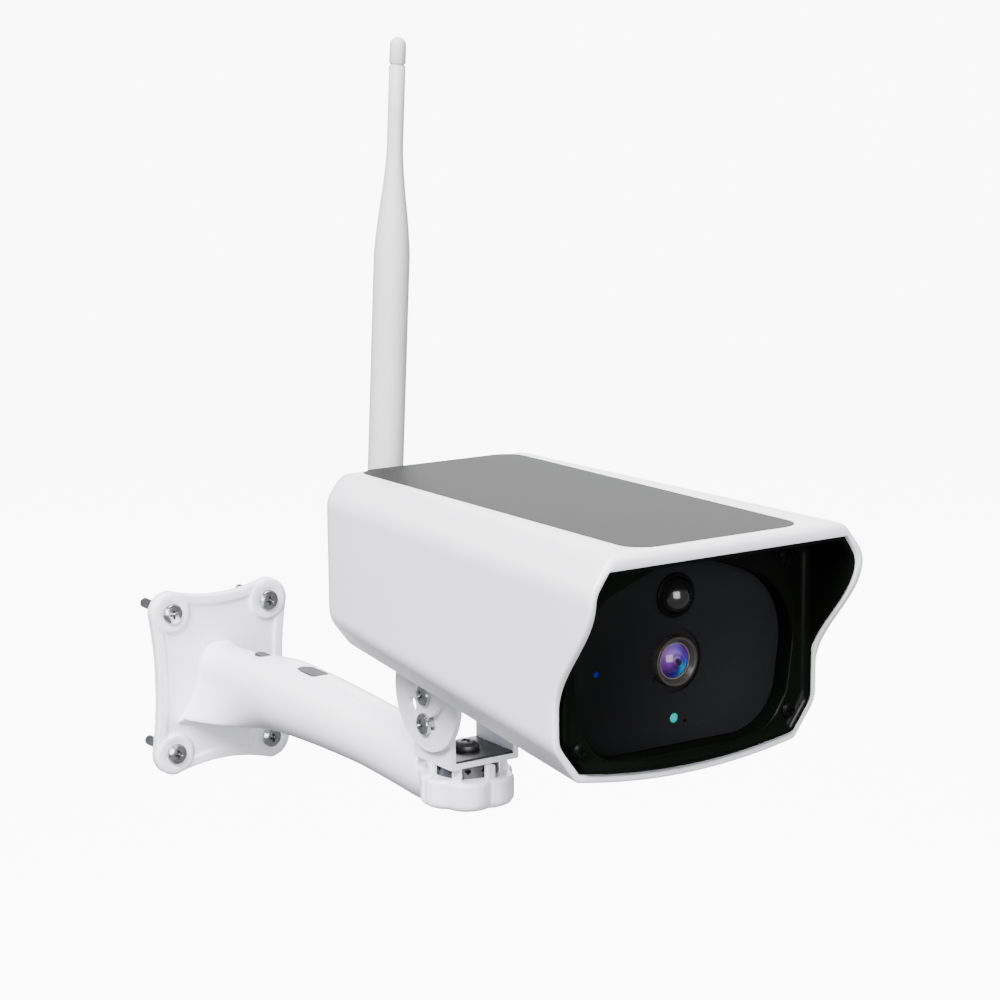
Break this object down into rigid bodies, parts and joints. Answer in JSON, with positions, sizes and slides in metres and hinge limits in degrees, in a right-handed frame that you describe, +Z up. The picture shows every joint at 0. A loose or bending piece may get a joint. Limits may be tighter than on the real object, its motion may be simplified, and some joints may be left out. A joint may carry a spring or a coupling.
{
  "type": "solar security camera",
  "caption": "Weatherproof bullet camera with a solar panel on top and a whip antenna, on a curved wall arm with a pan and tilt head.",
  "frame": {"origin": "middle of the wall plate's back face, where it lies on the wall", "axes": "+Y into the wall, along the wall screws; -Y is where the camera looks; +Z up; +X to the right when facing the wall"},
  "size_m": [0.1, 0.342, 0.2849],
  "materials": {
    "white_shell": "semi-gloss white moulding",
    "white_metal": "white powder-coated die casting",
    "steel_bright": "nickel-plated screws",
    "steel_dark": "dark zinc-plated steel",
    "rubber_dark": "moulded rubber",
    "black_gloss": "gloss black moulding",
    "plate_grey": "satin dark grey window",
    "solar_face": "satin charcoal cover sheet",
    "solar_cell": "dark blue silicon",
    "board_green": "solder mask",
    "chip_black": "moulded chip package",
    "lens_coated": "coated optical glass",
    "lens_ring_grey": "satin grey ring",
    "dome_black": "infrared-passing polyethylene",
    "lamp_teal": "lit lamp lens",
    "lamp_blue": "dim lamp lens",
    "lamp_clear": "clear lamp lens",
    "cell_wrap": "shrink wrap",
    "tray_black": "moulded tray",
    "gold": "gold-plated brass",
    "antenna_white": "satin off-white",
    "button_grey": "moulded cap",
    "flap_grey": "soft light grey rubber"
  },
  "bodies": {
    "wall_bracket": {"wall_plate": "white_metal", "wall_screws": "steel_bright", "arm": "white_metal", "arm_screws": "steel_dark", "arm_port_plugs": "rubber_dark", "detent_ring": "steel_dark"},
    "pan_head": {"pan_yoke": "white_metal", "yoke_floor_plate": "steel_dark", "pan_screw": "steel_dark", "pan_nut": "steel_dark", "pivot_screws": "steel_bright", "lock_screws": "steel_bright", "ear_nuts": "steel_dark"},
    "camera": {"tilt_bracket": "white_metal", "bracket_screws": "steel_bright", "housing": "white_shell", "solar_gasket": "rubber_dark", "solar_board": "board_green", "solar_cells": "solar_cell", "solar_glass": "solar_face", "front_bezel": "black_gloss", "front_gasket": "rubber_dark", "bezel_screws": "chip_black", "front_plate": "plate_grey", "lens_barrel": "chip_black", "lens_ring": "lens_ring_grey", "lens_glass": "lens_coated", "lens_holder": "chip_black", "sensor_board": "board_green", "image_sensor": "chip_black", "ir_board": "board_green", "ir_leds": "lamp_clear", "pir_dome": "dome_black", "pir_collar": "black_gloss", "pir_sensor": "steel_bright", "status_led": "lamp_teal", "link_led": "lamp_blue", "microphone": "steel_bright", "main_board": "board_green", "board_chips": "chip_black", "usb_socket": "steel_bright", "card_socket": "steel_bright", "battery_tray": "tray_black", "battery_cells": "cell_wrap", "rear_cover": "white_shell", "rear_gasket": "rubber_dark", "rear_screws": "steel_bright", "antenna_jack": "gold", "jack_nut": "gold", "flap_pin": "steel_bright"},
    "button": {"power_button": "button_grey"},
    "flap": {"port_flap": "flap_grey"},
    "antenna_base": {"antenna_swivel": "antenna_white", "fold_pin": "steel_bright"},
    "antenna_whip": {"antenna_sleeve": "antenna_white", "antenna_tip": "antenna_white"}
  },
  "joints": [
    {"name": "pan", "type": "hinge", "parent": "wall_bracket", "child": "pan_head", "pos_m": [0, -0.1805, 0.00985], "axis": [0, 0, 1], "range_deg": [-90, 90]},
    {"name": "tilt", "type": "hinge", "parent": "pan_head", "child": "camera", "pos_m": [0, -0.1805, 0.03385], "axis": [1, 0, 0], "range_deg": [-20, 45]},
    {"name": "antenna_turn", "type": "hinge", "parent": "camera", "child": "antenna_base", "pos_m": [0, -0.1295, 0.08413], "axis": [0, 1, 0], "range_deg": [-93, 87]},
    {"name": "antenna_fold", "type": "hinge", "parent": "antenna_base", "child": "antenna_whip", "pos_m": [0, -0.1295, 0.08413], "axis": [0.9986, 0, -0.0523], "range_deg": [-90, 0]},
    {"name": "power_press", "type": "slide", "parent": "camera", "child": "button", "axis": [0, -1, 0], "range_m": [0, 0.001], "stiffness_N_per_m": 600, "springref_m": -0.0004},
    {"name": "flap_open", "type": "hinge", "parent": "camera", "child": "flap", "pos_m": [0, -0.1554, 0.06343], "axis": [-1, 0, 0], "range_deg": [0, 110]}
  ]
}
